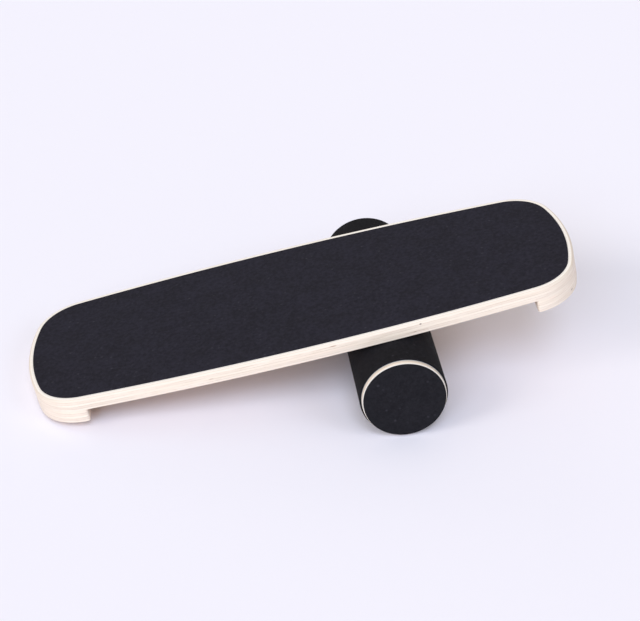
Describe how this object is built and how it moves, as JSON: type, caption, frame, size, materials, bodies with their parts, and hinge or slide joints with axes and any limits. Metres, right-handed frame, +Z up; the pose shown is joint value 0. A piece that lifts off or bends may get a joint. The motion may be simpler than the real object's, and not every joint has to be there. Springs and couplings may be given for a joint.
{
  "type": "balance board",
  "caption": "Rocking balance board: a grip-topped plywood deck with an end stop under each end, lying across a loose wrapped roller that it rocks and travels on.",
  "frame": {"origin": "on the floor, under the middle of the whole object's bounding box", "axes": "+X horizontally along the deck's length towards its raised end, +Y along the roller away from the picture's viewer, +Z up"},
  "size_m": [0.7307, 0.389, 0.1839],
  "materials": {
    "deck_plywood": "clear-lacquered pale plywood of five plies, which show on the edge",
    "stop_plywood": "clear-lacquered pale plywood of five plies, which show on the edge",
    "disc_plywood": "sanded pale plywood of five plies",
    "deck_grip_sheet": "matte black grip sheet with a fine grain",
    "roller_grip": "matte black grip sleeve",
    "end_pad_foam": "matte black dense foam",
    "tube_plastic": "plain grey pipe, hidden under the wrap",
    "zinc_steel": "zinc-plated steel"
  },
  "bodies": {
    "roller": {"roller_wrap": "roller_grip", "roller_tube": "tube_plastic", "front_end_disc": "disc_plywood", "rear_end_disc": "disc_plywood", "front_end_pad": "end_pad_foam", "rear_end_pad": "end_pad_foam", "front_washer": "zinc_steel", "rear_washer": "zinc_steel", "front_nut": "zinc_steel", "rear_nut": "zinc_steel"},
    "rock_axis": {"tie_rod": "zinc_steel"},
    "deck": {"deck_board": "deck_plywood", "deck_grip": "deck_grip_sheet", "left_end_stop": "stop_plywood", "right_end_stop": "stop_plywood", "left_stop_screw_1": "zinc_steel", "left_stop_screw_2": "zinc_steel", "left_stop_screw_3": "zinc_steel", "left_stop_screw_4": "zinc_steel", "right_stop_screw_1": "zinc_steel", "right_stop_screw_2": "zinc_steel", "right_stop_screw_3": "zinc_steel", "right_stop_screw_4": "zinc_steel"}
  },
  "joints": [
    {"name": "deck_rock", "type": "hinge", "parent": "roller", "child": "rock_axis", "pos_m": [0.11319, 0, 0.057], "axis": [0, 1, 0], "range_deg": [0, 32.4]},
    {"name": "deck_travel", "type": "slide", "parent": "rock_axis", "child": "deck", "axis": [-0.9793, 0, -0.2024], "range_m": [-0.357, 0.153]}
  ]
}
